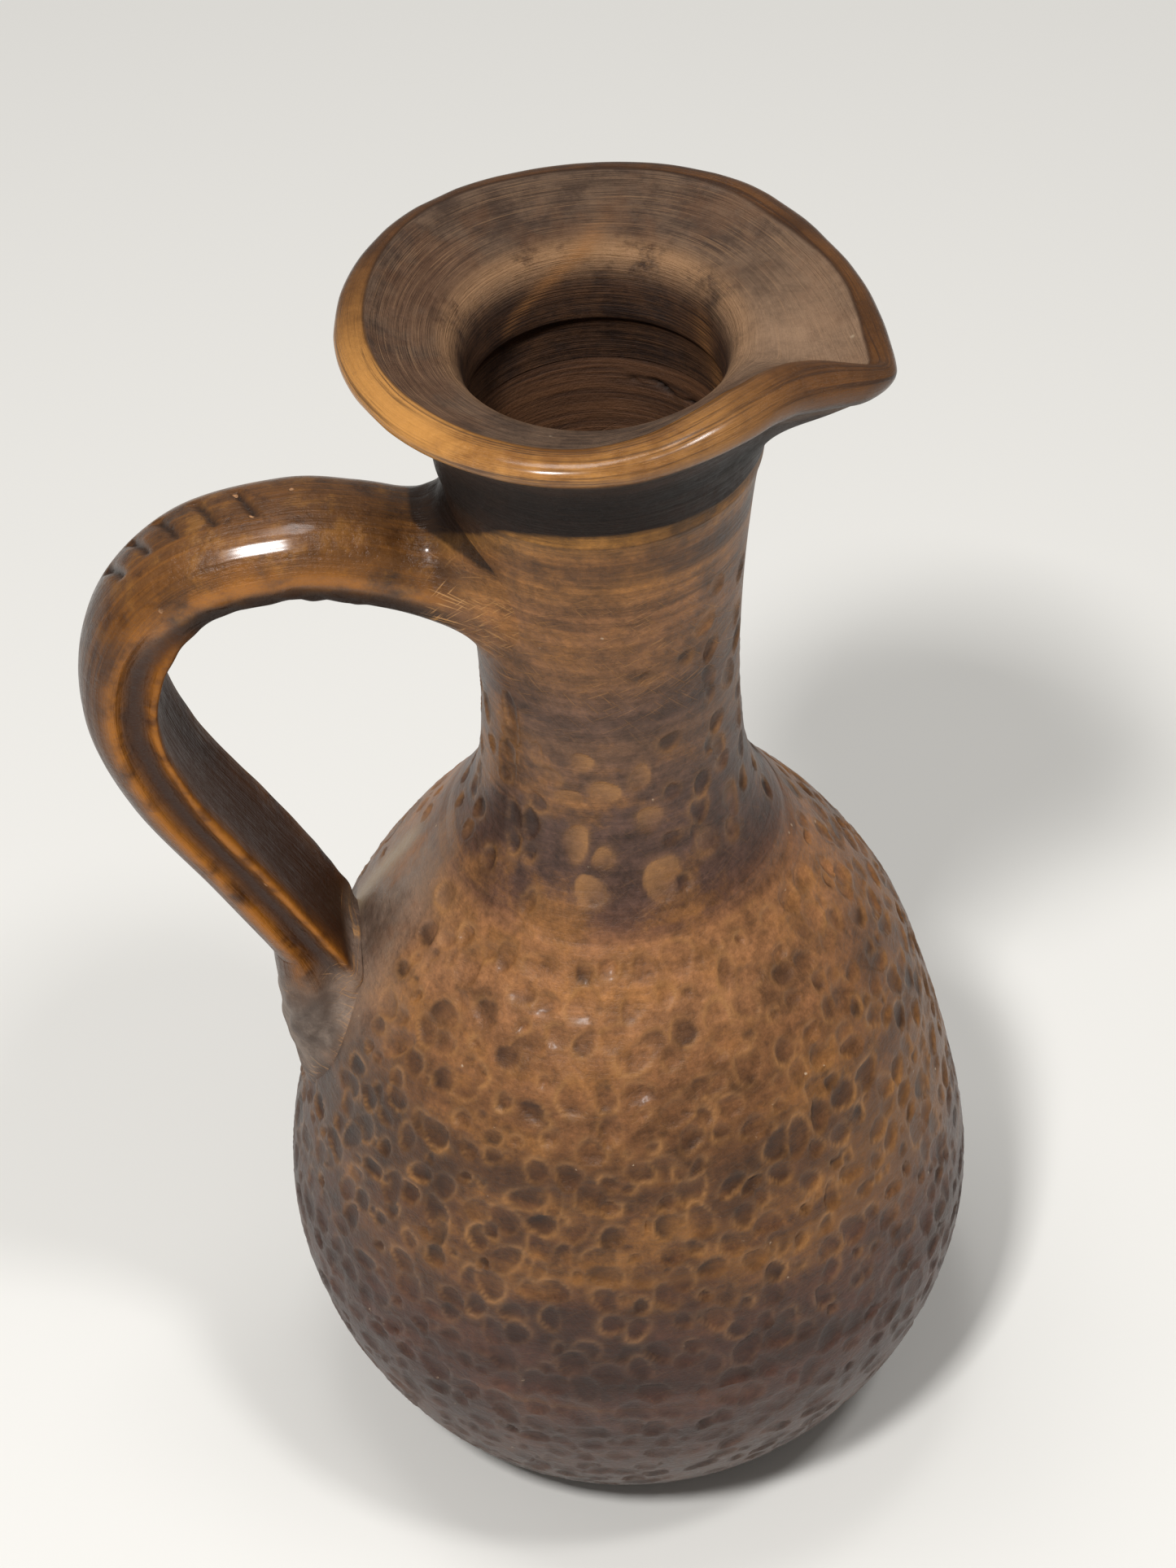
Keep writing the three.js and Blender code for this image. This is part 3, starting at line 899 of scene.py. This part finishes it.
def smearPiece(name, edge, heading, ring, startAlong, sign, look, paint):
    # clay smeared from an end of the strap out over the vessel's wall
    t = np.linspace(0, 1, look["rows"])[:, None, None]
    side, facing, ridge, channel = ring.T
    foot = landOnVessel(edge, heading)
    outer = ease(-0.2, 0.9, facing)
    way = np.arctan2(facing * look["outward"], side)
    tall = np.where(np.sin(way) > 0, look["above"], look["below"])
    narrowed = 1 - look["taper"] * np.clip(-np.sin(way), 0, 1) ** 2
    aside = -np.radians(look["bearing"]) * np.cos(way) * narrowed
    sunk = np.full(len(ring), -look["sink"])
    landing = np.stack([aside, look["middle"] + tall * np.sin(way), sunk], -1)
    knee = offWall(foot) + np.array([0, -look["drop"], look["lift"]]) * outer[:, None]
    landed = fromWall(landing)
    straight = (1 - t) ** 2 * edge + 2 * t * (1 - t) * fromWall(knee) + t ** 2 * landed
    curved = fromWall((1 - t) ** 2 * offWall(edge) + 2 * t * (1 - t) * knee + t ** 2 * landing)
    share = ease(0, 1, t)
    grid = straight * (1 - share) + curved * share
    turn = np.arange(len(ring))[None, :] * 2 * math.pi / len(ring)
    row = t[:, :, 0]
    shape = ease(0, 0.35, row) * ease(1, 0.7, row)
    coarse = look["lumps"] * ripple(turn, row * 9, look["seed"], 16, (6, 1.4)) * shape
    fine = look["rough"] * ripple(turn, row * 24, look["seed"] + 1, 22, (17, 1.6)) * shape * outer
    lumps = coarse + fine
    order = slice(None, None, -1) if sign < 0 else slice(None)
    grid = grid[order]
    grid = grid + gridNormals(grid, False) * lumps[order][:, :, None]
    fade = (1 - ease(0, 0.7, row))[order]
    bearing = np.degrees(offWall(grid)[..., 0])
    nearSide = -side - 0.15 - 0.9 * row
    # the dark valley where the saddle meets the neck under the lip: painted shade, with the dark glaze
    valley = look["valley"] * ease(0, 0.22, row) * ease(0.3, 0.7, facing) * ease(0.25, -0.15, nearSide)
    grey = look["grey"] * (ease(0.02, 0.4, row) * ease(1, 0.7, row))[order]
    shades = {"ridge": np.clip(ridge, 0, 1) * fade,
              "channel": np.clip(channel, 0, 1) * fade, "under": ease(*look["shadeFrom"], facing) * fade,
              "along": startAlong + sign * row[order] * 25, "across": side * 13,
              "smear": ease(0.1, look["blend"], row)[order], "valley": valley[order],
              "grey": grey * ease(-0.9, 0.3, facing),
              "dip": darkBandDip(bearing, grid[..., 2]), "slip": slipSheenCover(bearing, grid[..., 2]),
              "outside": ease(0, 0.6, facing)}
    return gridPiece(name, grid, False, shades, paint, 75)


smears = {
    # where the smeared clay lands: half its bearing in degrees, then its middle height and its reach above
    # and below in mm
    "saddle": {"rows": 54, "bearing": 60, "middle": 240, "above": 20, "below": 29, "taper": 0.35,
               "outward": 1, "lift": 0, "drop": 0, "sink": 0.5, "lumps": 0.2, "rough": 0.1,
               "blend": 0.75, "seed": 61, "grey": 0, "valley": 1, "shadeFrom": (-0.22, -0.45)},
    "tail": {"rows": 64, "bearing": 16, "middle": 124, "above": 13, "below": 30, "taper": 0.35,
             "outward": -1, "lift": 9, "drop": 3, "sink": 0.5, "lumps": 0.6, "rough": 0.4,
             "blend": 0.6, "seed": 67, "grey": 1, "valley": 0, "shadeFrom": (-0.5, -0.75)},
}


def handlePaint():
    paint = Paint("handleClay")
    ridge, channel, under, outside = [paint.shade(name) for name in ("ridge", "channel", "under", "outside")]
    cut, smear, along, across = [paint.shade(name) for name in ("cut", "smear", "along", "across")]
    flow = paint.joined(along * 0.02, across * 0.5, outside * 3)
    pull = paint.noise(flow, 1.3, 5, 0.62, 0.2)
    thin = paint.noise(flow, 5, 3, 0.6)
    cloud = paint.noise(paint.place, 42, 6, 0.65)
    mottle = paint.noise(paint.place, 150, 6, 0.72)
    grain = paint.noise(paint.place, 700, 3, 0.6)
    drawn = paint.between(along, 30, 60, 0.35, 1)
    colour = paint.mixed(paint.between(cloud, 0.35, 0.66), *handle["body"])
    colour = paint.mixed(paint.between(pull, 0.48, 0.64) * drawn * 0.65, colour, handle["pulled"])
    colour = paint.mixed(paint.between(thin, 0.52, 0.66) * drawn * 0.6, colour, handle["thin"])
    colour = paint.mixed(paint.between(mottle, 0.5, 0.66) * 0.5, colour, handle["light"])
    colour = paint.mixed(paint.between(mottle, 0.48, 0.34) * 0.55, colour, handle["dark"])
    # the side channels painted dark: painted shade in the grooves
    colour = paint.mixed(channel * 0.9, colour, handle["channel"])
    # the underside painted darker: painted shade
    colour = paint.mixed(under * 0.88, colour, paint.mixed(paint.between(along, 40, 60), *handle["under"]))
    colour = paint.mixed(paint.between(along, 34, 70) * 0.72, colour, handle["low"])
    # the ridges painted light orange: burnished wear and painted light where the edges catch the lamps
    worn = paint.between(paint.noise(paint.place, 120, 4), 0.3, 0.6)
    colour = paint.mixed(ridge * worn * 0.85, colour, handle["ridge"])
    wall, wallRelief, wallRough = wallColour(paint)[:3]
    colour = paint.mixed(paint.between(smear, 0.15, 0.85), colour, wall)
    hatch = (scratches(paint, 1.1) + scratches(paint, -0.35)) * paint.between(cloud, 0.38, 0.52)
    hatch = hatch * paint.between(smear, 0, 0.2) * paint.between(paint.part("Z"), 0.25, 0.243)
    colour = paint.mixed(hatch * 0.85, colour, handle["hatch"])
    # the saddle's valley painted dark: painted shade with the dark glaze
    valley = paint.between(paint.shade("valley") + (mottle - 0.5) * 0.8, 0.35, 0.75)
    colour = paint.mixed(valley * 0.85, colour, handle["valley"])
    # the tail's wad of grey slip; its grey is partly a painted sheen
    wad = paint.mixed(paint.between(mottle * 0.5 + cloud * 0.5, 0.38, 0.62), *clay["slip"])
    colour = paint.mixed(paint.shade("grey") * 0.9, colour, wad)
    # the notches painted dark: painted shade in the cuts
    colour = paint.mixed(cut * 0.9, colour, handle["cut"])
    chip = paint.specks(95, 0.04, 0.07) * paint.between(cloud, 0.5, 0.56)
    colour = paint.mixed(chip * 0.85, colour, handle["chip"])
    rough = 0.3 + 0.3 * (grain - 0.4) + under * 0.15 + (mottle - 0.5) * 0.4
    rough = rough * (1 - smear) + wallRough * smear
    relief = grain * 0.45 + pull + thin * 0.4 + mottle * 0.9 - chip * 0.8
    relief = relief * (1 - smear) + wallRelief * smear
    coat = handle["coat"] * (1 - smear) * (1 - under) * paint.between(along, 45, 75, 1, 0.35)
    return paint.finish({
        "Base Color": colour, "Roughness": rough + paint.shade("grey") * 0.15, "IOR": 1.45,
        "Specular IOR Level": 0.28, "Coat Roughness": 0.14, "Coat Weight": coat,
        "Normal": paint.bumped(relief),
    })


handleClay = handlePaint()
strap, strapPoints, strapRing, strapHeading, strapAlong = strapPiece(handleClay)
toNeck = np.array([-strapHeading[0, 0], 0, -strapHeading[0, 1]])
toShoulder = np.array([strapHeading[-1, 0], 0, strapHeading[-1, 1]])
saddle = smearPiece("saddle_clay", strapPoints[0], toNeck, strapRing[0], 0, -1, smears["saddle"], handleClay)
tail = smearPiece("tail_clay", strapPoints[-1], toShoulder, strapRing[-1], strapAlong[-1], 1, smears["tail"],
                  handleClay)
for piece, node in ((strap, "handle"), (saddle, "handle_saddle"), (tail, "handle_tail")):
    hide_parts(node)
print("handle pulled and smeared on")

stage = {
    "floor": "efede8", "floorSize": 24,
    "lights": [
        # name, place, aim, size, power, in metres and watts
        ("front left", (-0.45, -0.85, 1.65), (0, 0, 0.12), 0.2, 21),
        ("front right", (0.55, -0.45, 1.75), (0, 0, 0.15), 0.2, 7.5),
        ("above", (-0.15, 0.1, 1.9), (0, 0, 0.2), 0.5, 8),
    ],
    "sky": (0.9, 0.89, 0.87), "skyStrength": 0.22,
}


def makeStage():
    half = stage["floorSize"] / 2
    corners = [(-half, -half, 0), (half, -half, 0), (half, half, 0), (-half, half, 0)]
    mesh = bpy.data.meshes.new("floor")
    mesh.from_pydata(corners, [], [(0, 1, 2, 3)])
    floor = placed("floor", mesh)
    paint = Paint("floorPaint")
    mesh.materials.append(paint.finish({"Base Color": tone(stage["floor"]), "Roughness": 0.6}))
    for name, place, aim, size, power in stage["lights"]:
        data = bpy.data.lights.new(name, "AREA")
        data.energy = power
        data.size = size
        lamp = placed(name, data)
        lamp.location = place
        away = unit(np.array(place) - np.array(aim))
        tipped = math.acos(away[2])
        lamp.rotation_euler = (tipped, 0, math.atan2(away[1], away[0]) + math.pi / 2)
    world = bpy.data.worlds.new("studio")
    world.use_nodes = True
    background = world.node_tree.nodes["Background"]
    background.inputs[0].default_value = stage["sky"] + (1,)
    background.inputs[1].default_value = stage["skyStrength"]
    bpy.context.scene.world = world
    bpy.context.scene.view_settings.view_transform = "Standard"


makeStage()
print("stage lit")
